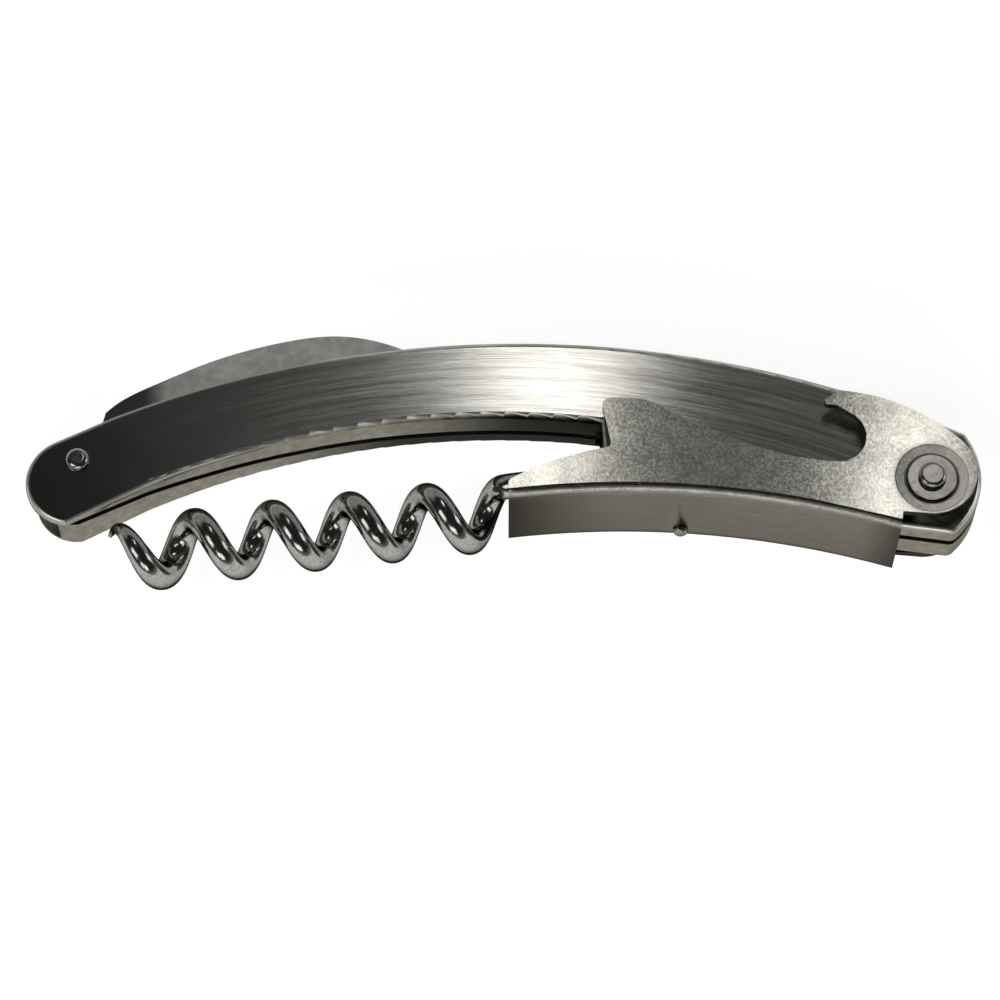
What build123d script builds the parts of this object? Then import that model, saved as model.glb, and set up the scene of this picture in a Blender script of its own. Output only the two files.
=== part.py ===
from build123d import *
from math import acos, atan2, cos, degrees, hypot, radians, sin, sqrt
import os

os.makedirs("parts", exist_ok=True)

# A waiter's corkscrew, folded and lying on its side. Millimetres and degrees.
# X runs from the knife end to the lever end, Y from the worm's side to the knife's side, Z up.
# The origin is on the lever rivet's axis, on the surface that the tool lies on.
# The front is +Z, the side that the crown-cap notch and the rivet's front head are seen from.

# Handle: two folded shells, each edge on a curve of its own
pivot_span = 99.3  # knife rivet to lever rivet, along X
top_radius = 121.6
top_height = 18.85  # top edge's highest point above the lever rivet
top_shift = 1.75  # and from the middle of the span, towards the lever
low_radius = 98.1
low_height = 9.1
low_shift = -0.65
knife_rise = 3.5  # knife rivet above the lever rivet
handle_thickness = 7.4  # over both shells
shell_sheet = 1.0
shell_bend = 0.7  # outer radius of the folded edges
slot_shift = -0.75  # slot's middle from the handle's middle
slot_path = ((0, 3.3), (15, 1.3), (25, 0.5), (40, 0), (79, 0), (83, 1.5), (110, 1.5))  # along X, towards the front
slot_depth = 3.0  # the slot wanders in the lower edge only, up to the tail
tail_slot_x = -20.0
front_end = (5.6, -97.0)  # knife end of the front shell: radius, and where its round stops
rear_end = (4.9, -82.0)  # and of the rear one
knife_end_drop = 2.6  # centre of the knife end below the knife rivet
knife_end_shift = 0.4  # and past it
shoulder_reach = 4.0  # top edge leaves the knife end this far from the knife rivet
heel_reach = 8.0  # and the lower edge here
tail_start = 14.0  # lower edge leaves the curve this far from the lever rivet
tail_heel = (-3.9, -4.9)  # then runs to here
tail_corner = (2.6, -5.8)  # and to the tail's rounded corner
tail_corner_radius = 1.2
tail_reach = 6.0  # tail's end past the lever rivet
tail_overhang = 4.4  # top edge past the lever rivet
lip_margin = 0.5  # lips stop this far from the ear
low_lip_stop = 2.2  # lower lips start this far before the knife rivet
top_lip_stop = 4.5  # upper lips start this far past it

# Worm, its knuckle and the ears that hold it
worm_pivot_x = -35.0
worm_pivot_y = 2.4
ear_radius = 2.7
ear_root = 3.2  # half of the ear's width where it leaves the handle
knuckle_radius = 2.4
wire_radius = 1.5
worm_radius = 4.5  # outside of the coil
worm_pitch = 9.05
worm_drop = 4.0  # coil's axis below the knuckle, where the coil starts
worm_tilt = 6.75  # coil's axis falls away from the handle towards its point
coil_clear = 0.4  # lever's end to the coil, along X
tip_clear = 3.7  # knife rivet to the worm's point, along X
shortest_tip = 0.4  # shortest last stretch, in turns
taper_start = 0.6  # share of the last stretch where the point's taper begins
tip_radius = 0.25
coil_start_angle = -20.0  # where the coil starts, from its top, towards the floor
shank_socket = 1.1  # how far the shank sits in the knuckle
shank_straight = 4.0
shank_ease = 1.0  # how stiffly the bend leaves the coil and meets the straight

# Lever: one sheet folded into a channel that straddles the handle
lever_width = 13.0
lever_sheet = 1.0
lever_bend = 1.1
lever_inner_bend = 0.35
lever_reach = 49.0  # lever rivet to the end of the channel
web_radius = 110.0
web_middle_x = -35.5  # highest point of the web's curve
web_gap = 0.6  # knuckle to web, folded
web_end = 3.8  # web's other end, from the lever rivet
heel_slope = (0.3, 0.2)  # rise of the cut end of the web, and of the head's low corner
lower_prong_rise = 2.2  # lower prong's tip above the web's corner
lower_prong_sag = (5.5, 2.3)  # a point on its upper edge, from the channel's end
fork_reach = 12.0  # depth of the step that holds the bottle's rim
fork_y = 4.0
upper_prong_reach = 10.7
upper_prong_y = 10.35
prong_radius = 1.1
corner_radius = 0.6
hook_radius = 0.4
upper_edge = ((0.21, 2.9), (0.48, 5.5), (0.72, 8.8), (0.86, 10.2))  # share of the way from the notch, height
hook_inner = (-10.7, 9.3)  # hook over the notch: where its lower edge starts
hook_point = (-12.0, 9.4)
hook_side = (-12.1, 10.0)
hook_end = (-10.4, 11.2)
hook_back = (-3.6, 9.55)  # a point on the head's back
lever_round_radius = 5.3  # round end of the head
lever_round_rise = 0.9  # its centre above the lever rivet
head_start_angle = 45.0
head_end_x = 1.0
cap_notch_radius = 3.3
cap_notch_x = -10.7
cap_notch_y = 5.35
cap_notch_angle = 60.0  # notch's round stops here, under the hook
dish_depth = 0.3  # shallow dish under the outer washers
dish_floor_radius = 3.1
dish_rim_radius = 4.3

# Knife
blade_thickness = 0.8
blade_clearance = 0.15  # between the blade and the lips beside it
tang_radius = 3.5
nick_reach = 2.6  # thumb's step in the blade's back, from the knife rivet
nick_rise = 2.8
blade_hump = 5.15  # blade's back above the handle's top edge
blade_back = ((4.3, 0.69), (8.9, 0.82), (13.6, 0.93), (23.0, 1.0), (30.2, 0.88), (34.9, 0.59))  # distance, share
blade_reach = 44.0
blade_tip_drop = 3.2  # point below the handle's top edge
blade_edge = ((36.0, -6.2), (24.0, -7.6))  # distance, height over the handle's top edge
blade_heel = 9.0  # cutting edge ends this far from the knife rivet
heel_height = 2.0  # above the handle's lower edge
heel_step = (0.6, 0.3)

# Rivets, washers and spacers
running_gap = 0.05  # between a turning part and what it turns on
fixed_gap = 0.02  # between a rivet and the sheet that it clamps
knife_rivet_radius = 1.0
knife_head_radius = 1.45
knife_head_height = 0.8
knife_head_round = 0.75
worm_rivet_radius = 1.0
worm_head_radius = 1.7
worm_head_height = 0.6
worm_head_round = 0.55
lever_rivet_radius = 1.25
lever_head_radius = 1.6
lever_head_height = 1.0
lever_head_round = 0.45
washer_radius = 2.85
washer_thickness = 0.5
standoff_radius = 3.4
spacer_radius = 2.4
worm_washer_radius = 2.1
worm_washer_thickness = 0.3
edge_break = 0.08
stud_x = -28.7  # small stud that is peened through the lever's web
stud_z = 2.0  # stud's axis, from the lever's lower face
stud_radius = 0.55
stud_head_radius = 0.85
stud_head_height = 0.7
stud_seat = 0.06  # head's flat clear of the curved web

# Levels, worked out from the middle of the handle
blade_slot = blade_thickness + 2 * blade_clearance  # gap between the lips of the two shells
middle_z = lever_width / 2 + running_gap - dish_depth + washer_thickness + lever_head_height
front_z = middle_z + handle_thickness / 2
rear_z = middle_z - handle_thickness / 2
front_lip_z = middle_z + slot_shift + blade_slot / 2
rear_lip_z = middle_z + slot_shift - blade_slot / 2
blade_z = middle_z + slot_shift - blade_thickness / 2
lever_top_z = middle_z + lever_width / 2
lever_low_z = middle_z - lever_width / 2

# Places
knife_pivot = (-pivot_span, knife_rise)
worm_pivot = (worm_pivot_x, worm_pivot_y)
lever_pivot = (0, 0)
top_x = top_shift - pivot_span / 2
low_x = low_shift - pivot_span / 2
web_low_y = worm_pivot_y - knuckle_radius - web_gap - lever_sheet  # web's highest outer point
web_centre_y = web_low_y - web_radius


def on_top(x, inset=0.0):
    # The handle's top edge, or a curve this far inside it
    return (x, top_height - top_radius + sqrt((top_radius - inset) ** 2 - (x - top_x) ** 2))


def on_low(x, inset=0.0):
    return (x, low_height - low_radius + sqrt((low_radius + inset) ** 2 - (x - low_x) ** 2))


def on_web(radius, x):
    return (x, web_centre_y + sqrt(radius**2 - (x - web_middle_x) ** 2))


def round_point(centre, radius, angle):
    return (centre[0] + radius * cos(radians(angle)), centre[1] + radius * sin(radians(angle)))


def tangent_angle(point, centre, radius, side):
    # Angle on the circle where a line from the point touches it
    run = (point[0] - centre[0], point[1] - centre[1])
    return degrees(atan2(run[1], run[0])) + side * degrees(acos(radius / hypot(*run)))


# Handle shells

knife_end = (knife_pivot[0] - knife_end_shift, knife_pivot[1] - knife_end_drop)
shoulder_x = knife_pivot[0] + shoulder_reach
heel_x = knife_pivot[0] + heel_reach
tail_x = -tail_start


def handle_band(end, inset):
    # The handle's outline without its ear, drawn in from the edge by the inset
    cap = end[0] - inset
    cap_low = round_point(knife_end, cap, end[1])
    top_start = on_top(shoulder_x, inset)
    top_end = on_top(tail_overhang - inset, inset)
    low_start = on_low(tail_x, inset)
    low_end = on_low(heel_x, inset)
    tail_side = (tail_heel[0], tail_heel[1] + inset)
    corner = (tail_corner[0] - inset / 4, tail_corner[1] + inset)  # the tail's end leans outwards
    end_top = tangent_angle(top_start, knife_end, cap, 1)
    with BuildSketch() as band:
        with BuildLine():
            ThreePointArc(top_start, on_top(top_x, inset), top_end)
            ThreePointArc(top_end, (tail_reach - inset, 0), corner)
            Line(corner, tail_side)
            Line(tail_side, low_start)
            ThreePointArc(low_start, on_low(low_x, inset), low_end)
            Line(low_end, cap_low)
            ThreePointArc(cap_low, round_point(knife_end, cap, 180), round_point(knife_end, cap, end_top))
            Line(round_point(knife_end, cap, end_top), top_start)
        make_face()
        fillet(band.vertices().sort_by_distance(corner)[0], tail_corner_radius - inset)
    return band.sketch


def handle_outline(end):
    with BuildSketch() as outline:
        add(handle_band(end, 0))
        with Locations(worm_pivot):
            Circle(ear_radius)
        with BuildLine():
            Polyline(
                on_low(worm_pivot_x - ear_root, shell_sheet),
                on_low(worm_pivot_x - ear_root),
                (worm_pivot_x - ear_radius, worm_pivot_y),
                (worm_pivot_x + ear_radius, worm_pivot_y),
                on_low(worm_pivot_x + ear_root),
                on_low(worm_pivot_x + ear_root, shell_sheet),
                close=True,
            )
        make_face()
    return outline.sketch


def shell_pocket(end):
    # Inside of a shell: everything but its lips, which are left off at the knife end and at the ear
    ear_reach = ear_root + lip_margin
    lip_top = on_low(worm_pivot_x, shell_sheet)[1]
    ear_drop = lip_top - worm_pivot_y + ear_radius
    with BuildSketch() as pocket:
        add(handle_band(end, shell_sheet))
        with Locations((knife_pivot[0] - low_lip_stop, 0)):
            Rectangle(pivot_span, pivot_span, align=(Align.MAX, Align.CENTER))
        with Locations((knife_pivot[0] + top_lip_stop, knife_pivot[1])):
            Rectangle(pivot_span, pivot_span, align=(Align.MAX, Align.MIN))
        with Locations((worm_pivot_x, lip_top)):
            Rectangle(2 * ear_reach, 2 * ear_drop, align=(Align.CENTER, Align.MAX))
    return pocket.sketch


def beyond_lips(lip_z, far_z):
    # What a shell leaves to the slot and to the other shell, between two levels
    path = [(knife_pivot[0] + along, lip_z + step) for along, step in slot_path]
    path = [(path[0][0] - pivot_span, path[0][1]), *path, (path[-1][0] + pivot_span, path[-1][1])]
    side = Plane(origin=(0, 0, 0), x_dir=(1, 0, 0), z_dir=(0, -1, 0))
    with BuildSketch() as upper_edge_area:
        Rectangle(4 * pivot_span, 2 * pivot_span)
        with Locations((low_x, low_height - low_radius)):
            Circle(low_radius + slot_depth, mode=Mode.SUBTRACT)
        with Locations((tail_slot_x, 0)):
            Rectangle(2 * pivot_span, 4 * pivot_span, align=(Align.MIN, Align.CENTER), mode=Mode.SUBTRACT)
    with BuildPart() as wandering:
        with BuildSketch(side):
            Polygon(*path, (path[-1][0], far_z), (path[0][0], far_z), align=None)
        extrude(amount=pivot_span, both=True)
        with BuildSketch(Plane.XY.offset(lip_z)):
            add(upper_edge_area)
        extrude(amount=2 * handle_thickness, both=True, mode=Mode.SUBTRACT)
    with BuildPart() as straight:
        with BuildSketch(Plane.XY.offset(far_z)):
            add(upper_edge_area)
        extrude(amount=lip_z - far_z)
    return wandering, straight


def folded_shell(outer_z, lip_z, end):
    inward = 1 if outer_z > lip_z else -1
    far_z = lip_z - inward * max(step for along, step in slot_path)
    depth = outer_z - far_z
    with BuildPart() as shell:
        with BuildSketch(Plane.XY.offset(outer_z)):
            add(handle_outline(end))
        extrude(amount=-depth)
        rim = shell.faces().filter_by(Axis.Z).sort_by(Axis.Z)[-1 if inward > 0 else 0]
        fillet(rim.outer_wire().edges(), shell_bend)
        with BuildSketch(Plane.XY.offset(far_z)):
            add(shell_pocket(end))
        extrude(amount=depth - inward * shell_sheet, mode=Mode.SUBTRACT)
        for area in beyond_lips(lip_z, far_z):
            add(area, mode=Mode.SUBTRACT)
        with BuildSketch(Plane.XY.offset(outer_z)):
            with Locations(knife_pivot):
                Circle(knife_rivet_radius + fixed_gap)
            with Locations(worm_pivot):
                Circle(worm_rivet_radius + fixed_gap)
            with Locations(lever_pivot):
                Circle(lever_rivet_radius + fixed_gap)
        extrude(amount=-2 * inward * shell_sheet, mode=Mode.SUBTRACT)
    return shell


front_shell = folded_shell(front_z, front_lip_z, front_end)
front_shell.part.label = "front_shell"
rear_shell = folded_shell(rear_z, rear_lip_z, rear_end)
rear_shell.part.label = "rear_shell"

# Knife


def above_top(distance, rise):
    # A point at a distance along X from the knife rivet, above the handle's top edge
    x, y = on_top(knife_pivot[0] + distance)
    return (x, y + rise)


with BuildPart() as knife_blade:
    with BuildSketch(Plane.XY.offset(blade_z)) as blade_profile:
        tang_top = (knife_pivot[0], knife_pivot[1] + tang_radius)
        tang_low = (knife_pivot[0], knife_pivot[1] - tang_radius)
        nick = above_top(nick_reach, nick_rise)
        nick_foot = (nick[0] - nick_rise / 4, tang_top[1] + nick_rise / 2)
        tip = above_top(blade_reach, -blade_tip_drop)
        heel = (knife_pivot[0] + blade_heel, on_low(knife_pivot[0] + blade_heel, heel_height)[1])
        heel_foot = (heel[0] - heel_step[0], heel[1] - heel_step[1])
        with BuildLine():
            Line(tang_top, nick_foot)
            Line(nick_foot, nick)
            Spline(nick, *[above_top(distance, share * blade_hump) for distance, share in blade_back], tip)
            Spline(tip, *[above_top(distance, rise) for distance, rise in blade_edge], heel)
            Line(heel, heel_foot)
            Line(heel_foot, tang_low)
            ThreePointArc(tang_low, (knife_pivot[0] - tang_radius, knife_pivot[1]), tang_top)
        make_face()
    extrude(amount=blade_thickness)
    with BuildSketch(Plane.XY.offset(blade_z)):
        with Locations(knife_pivot):
            Circle(knife_rivet_radius + running_gap)
    extrude(amount=blade_thickness, mode=Mode.SUBTRACT)
knife_blade.part.label = "knife_blade"

# Worm: its wire is one solid, coil, pointed end and straight shank

shank_length = lever_reach + worm_pivot_x + coil_clear
coil_radius = worm_radius - wire_radius
coil_length = pivot_span + worm_pivot_x - shank_length - tip_clear
worm_turns = coil_length / worm_pitch
body_turns = int(worm_turns - shortest_tip)
tip_turns = worm_turns - body_turns
shank_end = Vector(worm_pivot_x - knuckle_radius + shank_socket, worm_pivot_y, middle_z)

# The coil's own frame: Z runs down its axis to the point, X through the wire where the coil starts
coil_down = Vector(-cos(radians(worm_tilt)), -sin(radians(worm_tilt)), 0)
coil_top = Vector(sin(radians(-worm_tilt)), cos(radians(worm_tilt)), 0)
coil_frame = Plane(
    origin=(worm_pivot_x - shank_length, worm_pivot_y - worm_drop, middle_z),
    x_dir=coil_top.rotate(Axis((0, 0, 0), coil_down), coil_start_angle),
    z_dir=coil_down,
)
shank_foot = coil_frame.to_local_coords(shank_end)
shank_run = coil_frame.to_local_coords(shank_end - Vector(shank_straight, 0, 0))

with BuildPart() as straight_worm:
    with BuildLine() as coil_line:
        Helix(pitch=worm_pitch, height=body_turns * worm_pitch, radius=coil_radius)
    coil_start = coil_line.line @ 0
    coil_heading = coil_line.line % 0
    with BuildSketch(Plane(origin=coil_start, z_dir=coil_heading)):
        Circle(wire_radius)
    sweep(path=coil_line.line, is_frenet=True)
    with BuildLine() as tip_line:
        Helix(
            pitch=worm_pitch,
            height=tip_turns * worm_pitch,
            radius=coil_radius,
            center=(0, 0, body_turns * worm_pitch),
        )
    for share, radius in ((0, wire_radius), (taper_start, 0.97 * wire_radius), (1, tip_radius)):
        with BuildSketch(Plane(origin=tip_line.line @ share, z_dir=tip_line.line % share)):
            Circle(radius)
    sweep(path=tip_line.line, multisection=True, is_frenet=True)
    with BuildLine() as shank_line:
        Spline(
            coil_start,
            shank_run,
            tangents=(-coil_heading, shank_foot - shank_run),
            tangent_scalars=(shank_ease, shank_ease),
        )
        Line(shank_run, shank_foot)
    with BuildSketch(Plane(origin=coil_start, z_dir=-coil_heading)):
        Circle(wire_radius)
    sweep(path=shank_line.line)
worm = straight_worm.part.moved(coil_frame.location)
worm.label = "worm"

knuckle_width = handle_thickness - 2 * (shell_sheet + worm_washer_thickness + running_gap)

with BuildPart() as worm_knuckle:
    with BuildSketch(Plane.XY.offset(middle_z - knuckle_width / 2)):
        with Locations(worm_pivot):
            Circle(knuckle_radius)
            Circle(worm_rivet_radius + running_gap, mode=Mode.SUBTRACT)
    extrude(amount=knuckle_width)
    chamfer(worm_knuckle.edges().filter_by(GeomType.CIRCLE), 3 * edge_break)
    with BuildSketch(Plane(origin=shank_end, z_dir=(-1, 0, 0))):
        Circle(wire_radius + fixed_gap)
    extrude(amount=2 * knuckle_radius, mode=Mode.SUBTRACT)
worm_knuckle.part.label = "worm_knuckle"

# Lever

def lever_outline():
    web_left = on_web(web_radius, -lever_reach)
    web_right = on_web(web_radius, -web_end)
    notch = (cap_notch_x, cap_notch_y)
    notch_top = round_point(notch, cap_notch_radius, cap_notch_angle)
    notch_low = round_point(notch, cap_notch_radius, -90)
    prong_tip = (-lever_reach, web_left[1] + lower_prong_rise)
    fork = (fork_reach - lever_reach, fork_y)
    upper_tip = (upper_prong_reach - lever_reach, upper_prong_y)
    head_round = (0, lever_round_rise)
    head_start = round_point(head_round, lever_round_radius, head_start_angle)
    head_low = (-head_end_x, lever_round_rise - lever_round_radius)
    web_corner = (web_right[0] + heel_slope[0], head_low[1] + heel_slope[1])
    upper_run = upper_tip[0] - cap_notch_x
    upper_points = [(cap_notch_x + share * upper_run, height) for share, height in upper_edge]
    with BuildSketch() as outline:
        with BuildLine():
            ThreePointArc(web_left, on_web(web_radius, web_middle_x), web_right)
            Line(web_right, web_corner)
            Line(web_corner, head_low)
            ThreePointArc(head_low, round_point(head_round, lever_round_radius, 0), head_start)
            ThreePointArc(head_start, hook_back, hook_end)
            Line(hook_end, hook_side)
            Line(hook_side, hook_point)
            Line(hook_point, hook_inner)
            Line(hook_inner, notch_top)
            ThreePointArc(notch_top, round_point(notch, cap_notch_radius, 0), notch_low)
            Spline(notch_low, *upper_points, tangents=((-1, 0.05), (-1, 0.1)))
            Line(upper_points[-1], upper_tip)
            Line(upper_tip, fork)
            ThreePointArc(fork, (lower_prong_sag[0] - lever_reach, lower_prong_sag[1]), prong_tip)
            Line(prong_tip, web_left)
        make_face()
        rounds = (
            (upper_tip, prong_radius),
            (fork, corner_radius),
            (prong_tip, corner_radius),
            (hook_point, hook_radius),
        )
        for corner, radius in rounds:
            fillet(outline.vertices().sort_by_distance(corner)[0], radius)
    return outline.sketch


stud_face_y = on_web(web_radius, stud_x)[1]


def channel_inside():
    # All that the sheet leaves empty: above the web and past its end
    inner_radius = web_radius + lever_sheet
    inner_left = on_web(inner_radius, -lever_reach - lever_sheet)
    inner_right = on_web(inner_radius, -web_end)
    beyond = lever_reach / 2
    with BuildSketch() as inside:
        with BuildLine():
            ThreePointArc(inner_left, on_web(inner_radius, web_middle_x), inner_right)
            Polyline(
                inner_right,
                (-web_end, -beyond),
                (beyond, -beyond),
                (beyond, beyond),
                (inner_left[0], beyond),
                inner_left,
            )
        make_face()
    return inside.sketch


def is_fold(edge):
    return edge.length > lever_reach / 2


def is_inner_fold(edge):
    return is_fold(edge) and edge.radius > web_radius + lever_sheet / 2


with BuildPart() as lever:
    with BuildSketch(Plane.XY.offset(lever_low_z)):
        add(lever_outline())
    extrude(amount=lever_width)
    fillet(lever.edges().filter_by(GeomType.CIRCLE).filter_by(is_fold), lever_bend)
    with BuildSketch(Plane.XY.offset(lever_low_z + lever_sheet)):
        add(channel_inside())
    extrude(amount=lever_width - 2 * lever_sheet, mode=Mode.SUBTRACT)
    fillet(lever.edges().filter_by(GeomType.CIRCLE).filter_by(is_inner_fold), lever_inner_bend)
    with BuildSketch(Plane.XY.offset(lever_low_z)):
        with Locations(lever_pivot):
            Circle(lever_rivet_radius + running_gap)
    extrude(amount=lever_width, mode=Mode.SUBTRACT)
    for face_z, turn in ((lever_top_z, 1), (lever_low_z, -1)):
        with BuildSketch(Plane(origin=(0, 0, face_z), x_dir=(1, 0, 0), z_dir=(0, -1, 0))):
            Polygon(
                (0, 0),
                (dish_rim_radius, 0),
                (dish_floor_radius, -turn * dish_depth),
                (0, -turn * dish_depth),
                align=None,
            )
        revolve(axis=Axis.Z, mode=Mode.SUBTRACT)
    with BuildSketch(Plane(origin=(stud_x, stud_face_y, lever_low_z + stud_z), z_dir=(0, 1, 0))):
        Circle(stud_radius + fixed_gap)
    extrude(amount=2 * lever_sheet, both=True, mode=Mode.SUBTRACT)
lever.part.label = "lever"

# The stud stands through the web, with its head outside
with BuildPart() as web_stud:
    with BuildSketch(Plane(origin=(stud_x, stud_face_y - stud_seat, lever_low_z + stud_z), z_dir=(0, -1, 0))):
        Circle(stud_head_radius)
    extrude(amount=stud_head_height)
    fillet(web_stud.edges().sort_by(Axis.Y)[0], 0.9 * stud_head_height)
    with BuildSketch(Plane(origin=(stud_x, stud_face_y - stud_seat, lever_low_z + stud_z), z_dir=(0, 1, 0))):
        Circle(stud_radius)
    extrude(amount=lever_sheet + stud_seat)
web_stud.part.label = "web_stud"

# Rivets, washers and spacers

def rivet(centre, shaft_radius, shaft_low, shaft_high, head_radius, head_height, head_round):
    section = Plane(origin=(centre[0], centre[1], 0), x_dir=(1, 0, 0), z_dir=(0, -1, 0))
    high_edge = (head_radius, shaft_high + head_height)
    low_edge = (head_radius, shaft_low - head_height)
    with BuildPart() as pin:
        with BuildSketch(section) as half:
            with BuildLine():
                Polyline(
                    (0, high_edge[1]),
                    high_edge,
                    (head_radius, shaft_high),
                    (shaft_radius, shaft_high),
                    (shaft_radius, shaft_low),
                    (head_radius, shaft_low),
                    low_edge,
                    (0, low_edge[1]),
                    close=True,
                )
            make_face()
            for edge in (high_edge, low_edge):
                fillet(half.vertices().sort_by_distance(edge)[0], head_round)
        revolve(axis=Axis((centre[0], centre[1], 0), (0, 0, 1)))
    return pin


def ring(centre, outer_radius, inner_radius, low_z, high_z):
    with BuildPart() as washer:
        with BuildSketch(Plane.XY.offset(low_z)):
            with Locations(centre):
                Circle(outer_radius)
                Circle(inner_radius, mode=Mode.SUBTRACT)
        extrude(amount=high_z - low_z)
        chamfer(washer.edges().filter_by(GeomType.CIRCLE), edge_break)
    return washer


knife_rivet = rivet(
    knife_pivot,
    knife_rivet_radius,
    rear_z,
    front_z,
    knife_head_radius,
    knife_head_height,
    knife_head_round,
)
knife_rivet.part.label = "knife_rivet"

worm_rivet = rivet(
    worm_pivot,
    worm_rivet_radius,
    rear_z,
    front_z,
    worm_head_radius,
    worm_head_height,
    worm_head_round,
)
worm_rivet.part.label = "worm_rivet"

washer_stack = lever_width / 2 - dish_depth + running_gap + washer_thickness
lever_rivet = rivet(
    lever_pivot,
    lever_rivet_radius,
    middle_z - washer_stack,
    middle_z + washer_stack,
    lever_head_radius,
    lever_head_height,
    lever_head_round,
)
lever_rivet.part.label = "lever_rivet"

rings = {}
lever_hole = lever_rivet_radius + fixed_gap
front_washer_z = middle_z + washer_stack - washer_thickness
rear_washer_z = middle_z - washer_stack
rings["lever_washer_front"] = ring(
    lever_pivot, washer_radius, lever_hole, front_washer_z, front_washer_z + washer_thickness
)
rings["lever_washer_rear"] = ring(
    lever_pivot, washer_radius, lever_hole, rear_washer_z, rear_washer_z + washer_thickness
)
rings["lever_standoff_front"] = ring(
    lever_pivot, standoff_radius, lever_hole, front_z, lever_top_z - lever_sheet - running_gap
)
rings["lever_standoff_rear"] = ring(
    lever_pivot, standoff_radius, lever_hole, lever_low_z + lever_sheet + running_gap, rear_z
)
rings["lever_spacer"] = ring(
    lever_pivot, spacer_radius, lever_hole, rear_z + shell_sheet, front_z - shell_sheet
)
knife_hole = knife_rivet_radius + fixed_gap
rings["knife_spacer_front"] = ring(
    knife_pivot,
    spacer_radius,
    knife_hole,
    blade_z + blade_thickness + running_gap,
    front_z - shell_sheet,
)
rings["knife_spacer_rear"] = ring(
    knife_pivot, spacer_radius, knife_hole, rear_z + shell_sheet, blade_z - running_gap
)
worm_hole = worm_rivet_radius + fixed_gap
rings["worm_washer_front"] = ring(
    worm_pivot,
    worm_washer_radius,
    worm_hole,
    front_z - shell_sheet - worm_washer_thickness,
    front_z - shell_sheet,
)
rings["worm_washer_rear"] = ring(
    worm_pivot,
    worm_washer_radius,
    worm_hole,
    rear_z + shell_sheet,
    rear_z + shell_sheet + worm_washer_thickness,
)
for name, piece in rings.items():
    piece.part.label = name

# Files

pieces = [
    front_shell,
    rear_shell,
    knife_blade,
    knife_rivet,
    worm_knuckle,
    worm_rivet,
    lever,
    web_stud,
    lever_rivet,
    *rings.values(),
]
for part in [worm] + [piece.part for piece in pieces]:
    export_step(part, f"parts/{part.label}.step")
    print(part.label, round(part.volume, 2), part.is_valid)
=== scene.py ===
import bpy
import math
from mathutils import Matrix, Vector

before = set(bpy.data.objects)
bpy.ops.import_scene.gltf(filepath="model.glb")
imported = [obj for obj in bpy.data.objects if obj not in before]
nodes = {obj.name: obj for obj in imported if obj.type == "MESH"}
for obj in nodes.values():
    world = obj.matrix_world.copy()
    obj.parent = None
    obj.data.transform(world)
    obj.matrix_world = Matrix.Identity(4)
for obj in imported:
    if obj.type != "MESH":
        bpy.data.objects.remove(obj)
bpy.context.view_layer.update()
mm = 0.001
bpy.ops.object.select_all(action="DESELECT")
print("frame loaded")

# The handle is brushed along a curve; mm from the lever rivet
handleShape = {
    "curveCentre": (-50.0, -97.0, 0.0),
    "curveRadius": 110.5,  # middle of the handle
    "knifePivot": (-99.3, 3.5, 0.0),
    "wormPivot": (-35.0, 2.4, 0.0),
    "leverPivot": (0.0, 0.0, 0.0),
}

# Camera: a long lens, looking down across the worm's side
cameraSet = {
    "elevation": 66.3,
    "distance": 460.0,  # mm
    "frameWidth": 115.4,  # mm across the picture at the target
    "target": (-50.0, -2.82, 14.25),  # mm
    "sensorWidth": 36.0,  # mm
    "clip": (0.01, 20.0),  # m
}
tilt = math.radians(cameraSet["elevation"])
cameraTarget = Vector(cameraSet["target"]) * mm
cameraBack = Vector((0, -math.cos(tilt), math.sin(tilt)))
cameraPlace = cameraTarget + cameraBack * cameraSet["distance"] * mm
bpy.ops.object.camera_add(location=cameraPlace)
camera = bpy.context.object
camera.name = "mainCamera"
camera.rotation_euler = (-cameraBack).to_track_quat("-Z", "Y").to_euler()
camera.data.sensor_width = cameraSet["sensorWidth"]
camera.data.lens = cameraSet["sensorWidth"] * cameraSet["distance"] / cameraSet["frameWidth"]
camera.data.clip_start, camera.data.clip_end = cameraSet["clip"]
bpy.context.scene.camera = camera
bpy.context.scene.view_settings.view_transform = "Standard"
print("camera placed")


# Small helpers for node trees: each returns the socket that it makes
def setInput(tree, node, key, value):
    if isinstance(value, bpy.types.NodeSocket):
        tree.links.new(value, node.inputs[key])
    else:
        node.inputs[key].default_value = value


def calc(tree, operation, first, second):
    node = tree.nodes.new("ShaderNodeMath")
    node.operation = operation
    setInput(tree, node, 0, first)
    setInput(tree, node, 1, second)
    return node.outputs[0]


def times(tree, first, second):
    return calc(tree, "MULTIPLY", first, second)


def plus(tree, first, second):
    return calc(tree, "ADD", first, second)


def weighted(tree, total, *parts):
    # A start value, plus each socket times its share
    for value, share in parts:
        total = plus(tree, total, times(tree, value, share))
    return total


def vectorCalc(tree, operation, first, second=(0, 0, 0)):
    node = tree.nodes.new("ShaderNodeVectorMath")
    node.operation = operation
    setInput(tree, node, 0, first)
    if operation == "SCALE":
        setInput(tree, node, "Scale", second)
    else:
        setInput(tree, node, 1, second)
    return node.outputs["Value" if operation == "LENGTH" else "Vector"]


def splitVector(tree, vector):
    node = tree.nodes.new("ShaderNodeSeparateXYZ")
    tree.links.new(vector, node.inputs[0])
    return node.outputs


def joinVector(tree, x, y, z):
    node = tree.nodes.new("ShaderNodeCombineXYZ")
    for key, value in enumerate((x, y, z)):
        setInput(tree, node, key, value)
    return node.outputs[0]


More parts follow.
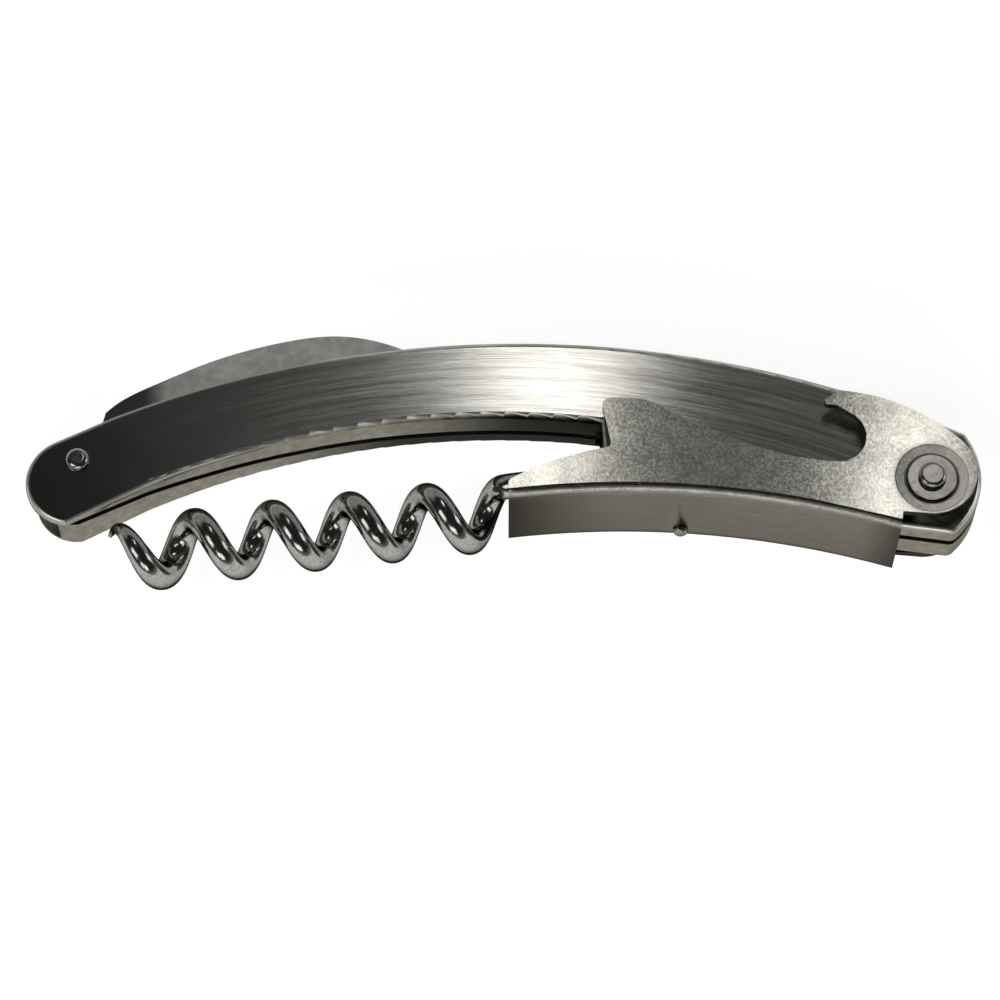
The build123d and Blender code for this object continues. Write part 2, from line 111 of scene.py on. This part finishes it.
def noise(tree, vector, scale, detail, roughness):
    node = tree.nodes.new("ShaderNodeTexNoise")
    setInput(tree, node, "Vector", vector)
    node.inputs["Scale"].default_value = scale
    node.inputs["Detail"].default_value = detail
    node.inputs["Roughness"].default_value = roughness
    return node.outputs[0]


def spread(tree, value, low, high, newLow=0.0, newHigh=1.0):
    # Smooth step from newLow at low to newHigh at high
    node = tree.nodes.new("ShaderNodeMapRange")
    node.interpolation_type = "SMOOTHSTEP"
    for key, number in enumerate((value, low, high, newLow, newHigh)):
        setInput(tree, node, key, number)
    return node.outputs[0]


def blend(tree, factor, first, second, kind="RGBA"):
    node = tree.nodes.new("ShaderNodeMix")
    node.data_type = kind
    setInput(tree, node, "Factor", factor)
    for key, value in (("A", first), ("B", second)):
        socket = next(s for s in node.inputs if s.name == key and s.type == kind)
        if isinstance(value, bpy.types.NodeSocket):
            tree.links.new(value, socket)
        else:
            socket.default_value = (*value, 1)
    return next(s for s in node.outputs if s.type == kind)


def bump(tree, height, strength, distance, normal=None):
    node = tree.nodes.new("ShaderNodeBump")
    setInput(tree, node, "Height", height)
    node.inputs["Strength"].default_value = strength
    node.inputs["Distance"].default_value = distance * mm
    if normal is not None:
        tree.links.new(normal, node.inputs["Normal"])
    return node.outputs[0]


def objectNormal(tree):
    return tree.nodes.new("ShaderNodeTexCoord").outputs["Normal"]


def facingUp(tree):
    # 1 on faces that look straight up or down, 0 on upright ones
    return splitVector(tree, vectorCalc(tree, "ABSOLUTE", objectNormal(tree)))[2]


def newMetal(name, edgeTint=1.0):
    # A metal, which an edgeTint under 1 darkens at grazing angles, and the point on it in mm
    material = bpy.data.materials.new(name)
    material.use_nodes = True
    tree = material.node_tree
    shader = tree.nodes["Principled BSDF"]
    shader.inputs["Metallic"].default_value = 1.0
    shader.inputs["Specular Tint"].default_value = (edgeTint, edgeTint, edgeTint, 1)
    place = tree.nodes.new("ShaderNodeTexCoord").outputs["Object"]
    point = vectorCalc(tree, "SCALE", place, 1 / mm)
    return material, tree, shader, point


def dressMetal(tree, shader, colour, roughness, normal):
    tree.links.new(colour, shader.inputs["Base Color"])
    tree.links.new(roughness, shader.inputs["Roughness"])
    tree.links.new(normal, shader.inputs["Normal"])


# Handle shells: long brushing lines along the curve, and folded walls darker than the face, partly their own
# mill finish and partly painted shade.
# A noise is its scale per mm, detail and roughness, a relief its strength and height in mm,
# and a pair of numbers is where an effect starts and where it is full.
shellFinish = {
    "bright": (0.60, 0.59, 0.55),
    "dull": (0.29, 0.28, 0.25),
    "dullToBright": (0.36, 0.64),
    "fineLines": (7.0, 3.0, 0.7),
    "fineStretch": 0.02,
    "broadLines": (1.3, 3.0, 0.6),
    "broadStretch": 0.03,
    # painted shade: the shells darken in patches towards the knife's end
    "knifeEndShade": (0.27, 0.30, 0.27),
    "knifeEndShadeX": (-62.0, -92.0),
    "patches": (0.16, 4.0, 0.6),
    "patchRange": (0.2, 0.6, 0.6, 1.0),  # the last two are the least and the most painted shade
    # partly painted shade: the upright folded walls are darker than the face
    "wall": (0.26, 0.24, 0.195),
    "wallStain": (0.34, 0.325, 0.28),
    "stains": (0.9, 5.0, 0.6),
    "stainRange": (0.35, 0.7),
    "wallTilt": (0.75, 0.35),
    "deepWall": (0.045, 0.048, 0.041),  # the stretch that the lever shades
    "deepStartX": (-66.0, -46.0),
    "deepEndX": (-15.0, -25.0),
    "rearShellZ": (7.2, 6.8),
    "rearShift": 14.0,  # the rear shell is dark from this much further left
    # painted highlight along the fold
    "paintedFoldHighlight": (0.85, 0.83, 0.76),
    "foldHighlightShare": 0.8,
    "foldTop": (0.995, 0.93),
    "foldFoot": (0.35, 0.6),
    "foldFront": (0.0, -0.2),
    "roughness": 0.11,
    "lineRoughness": 0.1,
    "foldRoughness": 0.2,
    "wallRoughness": 0.2,
    "relief": (0.2, 0.02),
    "edgeTint": 0.4,
    "anisotropy": 1.0,
}


def aroundCurve(tree, point):
    # Distance along the handle's curve, distance out from its centre, height, and the way outwards
    x, y, z = splitVector(tree, vectorCalc(tree, "SUBTRACT", point, handleShape["curveCentre"]))
    outward = joinVector(tree, x, y, 0.0)
    along = times(tree, calc(tree, "ARCTAN2", x, y), handleShape["curveRadius"])
    return along, vectorCalc(tree, "LENGTH", outward), z, outward


def brushAcross(tree, shader, direction, amount):
    # Brushed steel smears its highlights across the brushing
    turned = tree.nodes.new("ShaderNodeVectorTransform")
    turned.vector_type = "VECTOR"
    turned.convert_from = "OBJECT"
    turned.convert_to = "WORLD"
    tree.links.new(vectorCalc(tree, "NORMALIZE", direction), turned.inputs[0])
    tree.links.new(turned.outputs[0], shader.inputs["Tangent"])
    shader.inputs["Anisotropic"].default_value = shellFinish["anisotropy"]
    tree.links.new(times(tree, amount, shellFinish["anisotropy"]), shader.inputs["Anisotropic"])


def makeShellSteel():
    look = shellFinish
    material, tree, shader, point = newMetal("shellSteel", look["edgeTint"])
    along, radius, z, outward = aroundCurve(tree, point)
    finePoint = joinVector(tree, times(tree, along, look["fineStretch"]), radius, z)
    fineLines = noise(tree, finePoint, *look["fineLines"])
    broadPoint = joinVector(tree, times(tree, along, look["broadStretch"]), radius, z)
    broadLines = noise(tree, broadPoint, *look["broadLines"])
    lines = times(tree, plus(tree, fineLines, broadLines), 0.5)
    steel = blend(tree, spread(tree, lines, *look["dullToBright"]), look["dull"], look["bright"])

    # Painted shade, in patches, towards the knife's end
    x, _, height = splitVector(tree, point)
    patches = spread(tree, noise(tree, point, *look["patches"]), *look["patchRange"])
    knifeEndShaded = times(tree, spread(tree, x, *look["knifeEndShadeX"]), patches)
    steel = blend(tree, knifeEndShaded, steel, look["knifeEndShade"])

    # Folded walls: stained, darker partly as painted shade, and painted nearly black where the lever shades
    # them
    up = facingUp(tree)
    wall = spread(tree, up, *look["wallTilt"])
    stains = spread(tree, noise(tree, point, *look["stains"]), *look["stainRange"])
    shadedWallColour = blend(tree, stains, look["wall"], look["wallStain"])
    rearShell = spread(tree, height, *look["rearShellZ"])
    shiftedX = plus(tree, x, times(tree, rearShell, look["rearShift"]))
    deep = times(tree, spread(tree, shiftedX, *look["deepStartX"]), spread(tree, x, *look["deepEndX"]))
    shadedWallColour = blend(tree, deep, shadedWallColour, look["deepWall"])

    # Painted highlight along the fold between the face and the wall
    fold = times(tree, spread(tree, up, *look["foldTop"]), spread(tree, up, *look["foldFoot"]))
    fold = times(tree, fold, spread(tree, splitVector(tree, objectNormal(tree))[1], *look["foldFront"]))
    steel = blend(tree, times(tree, fold, look["foldHighlightShare"]), steel, look["paintedFoldHighlight"])

    lineRough = (lines, look["lineRoughness"])
    foldRough = (fold, look["foldRoughness"])
    wallRough = (wall, look["wallRoughness"])
    roughness = weighted(tree, look["roughness"], lineRough, foldRough, wallRough)
    # the folded walls take their colour, partly painted shade
    colour = blend(tree, wall, steel, shadedWallColour)
    dressMetal(tree, shader, colour, roughness, bump(tree, fineLines, *look["relief"]))
    brushAcross(tree, shader, outward, calc(tree, "SUBTRACT", 1.0, calc(tree, "MAXIMUM", fold, wall)))
    return material


# Lever: satin sheet, grainy, with a streaked web, painted shade at the web's ends and round the washer, and
# a painted sheen on the dish
leverFinish = {
    "bright": (0.56, 0.545, 0.49),
    "dull": (0.31, 0.30, 0.26),
    "dullToBright": (0.38, 0.62),
    "grain": (3.0, 4.0, 0.8),
    "grainShare": 0.65,
    "cloud": (0.25, 5.0, 0.6),
    "cloudShare": 0.35,
    "web": (0.13, 0.12, 0.103),
    "webLight": (0.26, 0.238, 0.205),
    "webTilt": (0.7, 0.3),
    "streaks": (3.0, 3.0, 0.6),
    "streakStretch": (0.04, 0.6),  # along X and Y
    # painted shade at the web's ends and foot, and in the groove round the washer
    "paintedShade": (0.05, 0.047, 0.04),
    "shadeLeftX": (-52.0, -35.0),
    "shadeRightX": (-2.0, -9.0),
    "shadeFootZ": (3.2, 1.6),
    # painted sheen: the dish round the rivet is lighter
    "dish": (0.85, 0.82, 0.74),
    "dishRadius": (5.0, 4.0),
    "dishSheenShare": 0.5,
    "dishLevel": (0.12, 0.12, 1.0),  # its slopes are shaded this much flatter
    "flangeTilt": (0.8, 0.9),
    "grooveRadius": (3.35, 3.05),  # painted shade: a dark line round the washer
    "bendTop": (0.99, 0.9),
    "bendFoot": (0.2, 0.5),
    "roughness": 0.05,
    "grainRoughness": 0.1,
    "dishRoughness": 0.09,
    "bendRoughness": 0.3,
    "webRoughness": 0.15,
    "streakRelief": 0.5,
    "relief": (0.13, 0.02),
    "edgeTint": 0.4,
}


def makeLeverSteel():
    look = leverFinish
    material, tree, shader, point = newMetal("leverSteel", look["edgeTint"])
    x, y, z = splitVector(tree, point)
    up = facingUp(tree)
    grain = noise(tree, point, *look["grain"])
    cloud = noise(tree, point, *look["cloud"])
    shade = plus(tree, times(tree, grain, look["grainShare"]), times(tree, cloud, look["cloudShare"]))
    steel = blend(tree, spread(tree, shade, *look["dullToBright"]), look["dull"], look["bright"])

    # Web: drawn streaks, with painted shade at its ends and its foot
    stretchX, stretchY = look["streakStretch"]
    streakPoint = joinVector(tree, times(tree, x, stretchX), times(tree, y, stretchY), z)
    streaks = noise(tree, streakPoint, *look["streaks"])
    web = spread(tree, up, *look["webTilt"])
    webColour = blend(tree, streaks, look["web"], look["webLight"])
    unshadedWeb = times(tree, spread(tree, x, *look["shadeLeftX"]), spread(tree, x, *look["shadeRightX"]))
    webColour = blend(tree, unshadedWeb, look["paintedShade"], webColour)
    webColour = blend(tree, spread(tree, z, *look["shadeFootZ"]), webColour, look["paintedShade"])

    # Dish and groove about the rivet: a painted sheen on the dish and a painted shade line in the groove
    rivetDistance = vectorCalc(tree, "LENGTH", joinVector(tree, x, y, 0.0))
    flange = spread(tree, up, *look["flangeTilt"])
    dish = times(tree, spread(tree, rivetDistance, *look["dishRadius"]), flange)
    steel = blend(tree, times(tree, dish, look["dishSheenShare"]), steel, look["dish"])
    groove = times(tree, spread(tree, rivetDistance, *look["grooveRadius"]), flange)
    steel = blend(tree, groove, steel, look["paintedShade"])

    bend = times(tree, spread(tree, up, *look["bendTop"]), spread(tree, up, *look["bendFoot"]))
    grainRough = (grain, look["grainRoughness"])
    dishRough = (dish, look["dishRoughness"])
    bendRough = (bend, look["bendRoughness"])
    webRough = (web, look["webRoughness"])
    roughness = weighted(tree, look["roughness"], grainRough, dishRough, bendRough, webRough)

    ownNormal = tree.nodes.new("ShaderNodeNewGeometry").outputs["Normal"]
    levelNormal = vectorCalc(tree, "NORMALIZE", vectorCalc(tree, "MULTIPLY", ownNormal, look["dishLevel"]))
    normal = blend(tree, dish, ownNormal, levelNormal, "VECTOR")
    relief = weighted(tree, grain, (streaks, look["streakRelief"]))
    colour = blend(tree, web, steel, webColour)
    dressMetal(tree, shader, colour, roughness, bump(tree, relief, *look["relief"], normal))
    return material


# Knife blade: pale and matt, ground across its length, with painted shade near its rivet
bladeFinish = {
    "light": (0.95, 0.94, 0.90),
    "dark": (0.72, 0.72, 0.69),
    "darkToLight": (0.35, 0.65),
    "mottle": (0.6, 4.0, 0.6),
    # painted shade near the rivet
    "knifeEndShade": (0.10, 0.11, 0.10),
    "knifeEndShadeX": (-88.5, -92.5),
    "grind": (6.0, 3.0, 0.6),
    "grindStretch": 0.05,
    "roughness": 0.42,
    "mottleRoughness": 0.15,
    "relief": (0.25, 0.02),
}


def makeBladeSteel():
    look = bladeFinish
    material, tree, shader, point = newMetal("bladeSteel")
    x, y, z = splitVector(tree, point)
    mottle = noise(tree, point, *look["mottle"])
    grind = noise(tree, joinVector(tree, x, times(tree, y, look["grindStretch"]), z), *look["grind"])
    colour = blend(tree, spread(tree, mottle, *look["darkToLight"]), look["dark"], look["light"])
    # painted shade near the rivet
    colour = blend(tree, spread(tree, x, *look["knifeEndShadeX"]), colour, look["knifeEndShade"])
    roughness = weighted(tree, look["roughness"], (mottle, look["mottleRoughness"]))
    dressMetal(tree, shader, colour, roughness, bump(tree, grind, *look["relief"]))
    return material


# Worm: drawn wire, with painted shade underneath
wormFinish = {
    "light": (0.44, 0.44, 0.42),
    "dark": (0.28, 0.28, 0.265),
    "darkToLight": (0.3, 0.7),
    "dirt": (3.0, 4.0, 0.7),
    # painted shade on the faces that look down
    "under": (0.085, 0.08, 0.067),
    "underTilt": (0.35, -0.3),
    "draw": (0.8, 3.0, 0.5),
    "roughness": 0.09,
    "drawRoughness": 0.12,
    "relief": (0.15, 0.1),
    "edgeTint": 0.1,
}


def makeWormSteel():
    look = wormFinish
    material, tree, shader, point = newMetal("wormSteel", look["edgeTint"])
    draw = noise(tree, point, *look["draw"])
    dirt = spread(tree, noise(tree, point, *look["dirt"]), *look["darkToLight"])
    # painted shade on the faces that look down
    under = spread(tree, splitVector(tree, objectNormal(tree))[2], *look["underTilt"])
    colour = blend(tree, under, blend(tree, dirt, look["dark"], look["light"]), look["under"])
    roughness = weighted(tree, look["roughness"], (draw, look["drawRoughness"]))
    dressMetal(tree, shader, colour, roughness, bump(tree, draw, *look["relief"]))
    return material


# Rivets and the small pieces on them: turned rings about their own pivot
turnedFinish = {
    "rings": (6.0, 3.0, 0.6),
    "ringHeight": 0.3,
    "ringShare": 0.4,
    "cloud": (0.9, 4.0, 0.6),
    "cloudShare": 0.6,
    "darkToLight": (0.36, 0.64),
    "roughness": 0.1,
    "shadeRoughness": 0.14,
    "relief": (0.15, 0.02),
    "knife": {"light": (0.42, 0.42, 0.41), "dark": (0.25, 0.25, 0.24)},
    "worm": {"light": (0.42, 0.42, 0.41), "dark": (0.28, 0.28, 0.27)},
    "lever": {"light": (0.45, 0.43, 0.40), "dark": (0.27, 0.255, 0.235)},
}


def makeTurnedSteel(pivotName):
    look = turnedFinish
    tints = look[pivotName]
    material, tree, shader, point = newMetal(pivotName + "Turned")
    centre = handleShape[pivotName + "Pivot"]
    x, y, z = splitVector(tree, vectorCalc(tree, "SUBTRACT", point, centre))
    radius = vectorCalc(tree, "LENGTH", joinVector(tree, x, y, 0.0))
    rings = noise(tree, joinVector(tree, radius, times(tree, z, look["ringHeight"]), 0.0), *look["rings"])
    cloud = noise(tree, point, *look["cloud"])
    shade = plus(tree, times(tree, rings, look["ringShare"]), times(tree, cloud, look["cloudShare"]))
    colour = blend(tree, spread(tree, shade, *look["darkToLight"]), tints["dark"], tints["light"])
    roughness = weighted(tree, look["roughness"], (shade, look["shadeRoughness"]))
    dressMetal(tree, shader, colour, roughness, bump(tree, shade, *look["relief"]))
    return material


shellSteel = makeShellSteel()
leverSteel = makeLeverSteel()
pieceFinishes = {
    "front_shell": shellSteel,
    "rear_shell": shellSteel,
    "knife_blade": makeBladeSteel(),
    "worm": makeWormSteel(),
    "lever": leverSteel,
    "web_stud": leverSteel,
}
turnedFinishes = {pivotName: makeTurnedSteel(pivotName) for pivotName in ("knife", "worm", "lever")}
for nodeName, node in nodes.items():
    pivotName = nodeName.split("_")[0]
    finish = pieceFinishes.get(nodeName) or turnedFinishes[pivotName]
    node.data.materials.clear()
    node.data.materials.append(finish)
print("materials made")

# The lever and its front washer are welded to one skin, and their flat faces are merged.
# On the lever, the bevel's own overlap limit holds it back at the short edges round the curves.
# The washer's edges turn less than sharpAngle. So this changes the shading more than the shape.
edgeWear = {
    "widths": {"lever": 0.16, "lever_washer_front": 0.08},  # mm
    "weldDistance": 0.001,  # mm
    "flatAngle": 0.5,  # degrees
    "sharpAngle": 50.0,  # degrees
    "segments": 2,
}
for nodeName, width in edgeWear["widths"].items():
    weld = nodes[nodeName].modifiers.new("oneSkin", "WELD")
    weld.merge_threshold = edgeWear["weldDistance"] * mm
    merge = nodes[nodeName].modifiers.new("flatFaces", "DECIMATE")
    merge.decimate_type = "DISSOLVE"
    merge.angle_limit = math.radians(edgeWear["flatAngle"])
    worn = nodes[nodeName].modifiers.new("wornEdges", "BEVEL")
    worn.width = width * mm
    worn.segments = edgeWear["segments"]
    worn.limit_method = "ANGLE"
    worn.angle_limit = math.radians(edgeWear["sharpAngle"])
    worn.harden_normals = True
print("edges worn")


def viewedRays(tree):
    # 1 for what the camera sees, straight or mirrored, and 0 for the light that falls on things
    path = tree.nodes.new("ShaderNodeLightPath")
    seen = plus(tree, path.outputs["Is Camera Ray"], path.outputs["Is Glossy Ray"])
    return calc(tree, "MINIMUM", plus(tree, seen, path.outputs["Is Transmission Ray"]), 1.0)


# Floor: white where it is seen or mirrored, with the object's shadow on it
floorSet = {
    "size": 12.0,  # m
    "drop": 0.1,  # mm below the object
    "paint": (0.7, 0.7, 0.7),
    "glow": 0.88,  # white that doesn't depend on the lamps
    "roughness": 0.9,
}
bpy.ops.mesh.primitive_plane_add(size=floorSet["size"], location=(0, 0, -floorSet["drop"] * mm))
floor = bpy.context.object
floor.name = "floor"
floorPaint = bpy.data.materials.new("floorPaint")
floorPaint.use_nodes = True
tree = floorPaint.node_tree
shader = tree.nodes["Principled BSDF"]
shader.inputs["Base Color"].default_value = (*floorSet["paint"], 1)
shader.inputs["Roughness"].default_value = floorSet["roughness"]
shader.inputs["Specular IOR Level"].default_value = 0.0
shader.inputs["Emission Color"].default_value = (1, 1, 1, 1)
tree.links.new(times(tree, viewedRays(tree), floorSet["glow"]), shader.inputs["Emission Strength"])
floor.data.materials.append(floorPaint)
print("floor laid")

# Studio: white for the camera and near the horizon, grey haze above that, a dim ceiling.
# A height is the sine of an elevation, from where a part ends to where it is full.
studioSet = {
    "ceiling": (0.028, 0.031, 0.029),
    "wall": (1.0, 1.0, 1.0),
    "wallHeight": (0.10, 0.04),
    "haze": (0.24, 0.24, 0.23),
    "hazeHeight": (0.36, 0.10),
    "backHaze": (0.42, 0.42, 0.41),  # on the +Y side, up to a greater height
    "backHazeHeight": (0.68, 0.58),
    "backNorth": (0.15, 0.5),  # how much a direction points to +Y
}
world = bpy.data.worlds.new("studio")
bpy.context.scene.world = world
world.use_nodes = True
tree = world.node_tree
direction = tree.nodes.new("ShaderNodeTexCoord").outputs["Generated"]
_, north, height = splitVector(tree, direction)
haze = times(tree, spread(tree, height, *studioSet["hazeHeight"]), viewedRays(tree))
backHaze = times(tree, spread(tree, north, *studioSet["backNorth"]), viewedRays(tree))
backHaze = times(tree, backHaze, spread(tree, height, *studioSet["backHazeHeight"]))
wall = times(tree, spread(tree, height, *studioSet["wallHeight"]), viewedRays(tree))
cameraRay = tree.nodes.new("ShaderNodeLightPath").outputs["Is Camera Ray"]
colour = blend(tree, haze, studioSet["ceiling"], studioSet["haze"])
colour = blend(tree, backHaze, colour, studioSet["backHaze"])
colour = blend(tree, calc(tree, "MAXIMUM", wall, cameraRay), colour, studioSet["wall"])
tree.links.new(colour, tree.nodes["Background"].inputs["Color"])
print("walls painted")

# Lamps: mm, and the brightness that a mirror would show. Those with "mirrored" are placed where
# the camera sees them reflected at that point of a flat face, at that distance from it.
lamps = {
    "patchLamp": {"mirrored": (-43.6, 13.5, 11.45), "distance": 600.0, "size": (38.0, 170.0), "shine": 4.0},
    "nearFade": {"mirrored": (-54.5, 13.5, 11.45), "distance": 600.0, "size": (13.0, 170.0), "shine": 0.65},
    "midFade": {"mirrored": (-61.0, 12.5, 11.45), "distance": 600.0, "size": (17.0, 200.0), "shine": 0.3},
    "farFade": {"mirrored": (-70.0, 10.0, 11.45), "distance": 600.0, "size": (24.0, 240.0), "shine": 0.17},
    "leftFade": {"mirrored": (-84.0, 8.0, 11.45), "distance": 600.0, "size": (40.0, 240.0), "shine": 0.08},
    "rightWall": {"mirrored": (-9.0, 8.0, 13.0), "distance": 800.0, "size": (100.0, 420.0), "shine": 0.12},
    "headLamp": {"mirrored": (-2.2, 4.0, 14.25), "distance": 600.0, "size": (13.0, 90.0), "shine": 4.5},
    "leverWall": {"mirrored": (-22.0, 4.0, 14.25), "distance": 600.0, "size": (135.0, 110.0), "shine": 0.16},
    "prongLamp": {"mirrored": (-46.5, 2.0, 14.25), "distance": 600.0, "size": (24.0, 110.0), "shine": 3.0},
    "leftLamp": {"place": (-400.0, -240.0, 420.0), "size": (260.0, 260.0), "shine": 2.2},
    "rightLamp": {"place": (430.0, 60.0, 300.0), "size": (200.0, 200.0), "shine": 2.0},
    "frontLamp": {"place": (-60.0, -600.0, 330.0), "size": (420.0, 200.0), "shine": 2.4},
}
leverLamps = ("headLamp", "leverWall", "prongLamp")  # the other mirrored ones are for the handle


def mirrorPlace(point, distance):
    ray = point - cameraPlace
    ray.z = -ray.z
    return point + ray.normalized() * distance


def lightGroup(groupName, isMember):
    group = bpy.data.collections.new(groupName)
    for nodeName, node in nodes.items():
        if isMember(nodeName):
            group.objects.link(node)
    return group


handleLit = lightGroup("handleLit", lambda nodeName: not nodeName.startswith("lever"))
leverLit = lightGroup("leverLit", lambda nodeName: nodeName.startswith("lever"))
for lampName, lamp in lamps.items():
    if "mirrored" in lamp:
        aim = Vector(lamp["mirrored"]) * mm
        lampPlace = mirrorPlace(aim, lamp["distance"] * mm)
    else:
        aim = cameraTarget
        lampPlace = Vector(lamp["place"]) * mm
    width, length = [side * mm for side in lamp["size"]]
    bpy.ops.object.light_add(type="AREA", location=lampPlace)
    light = bpy.context.object
    light.name = lampName
    light.rotation_euler = (aim - lampPlace).to_track_quat("-Z", "Y").to_euler()
    light.data.shape = "RECTANGLE"
    light.data.size = width
    light.data.size_y = length
    light.data.energy = lamp["shine"] * math.pi * width * length
    light.visible_camera = False
    if "mirrored" in lamp:
        light.light_linking.receiver_collection = leverLit if lampName in leverLamps else handleLit
print("studio lit")
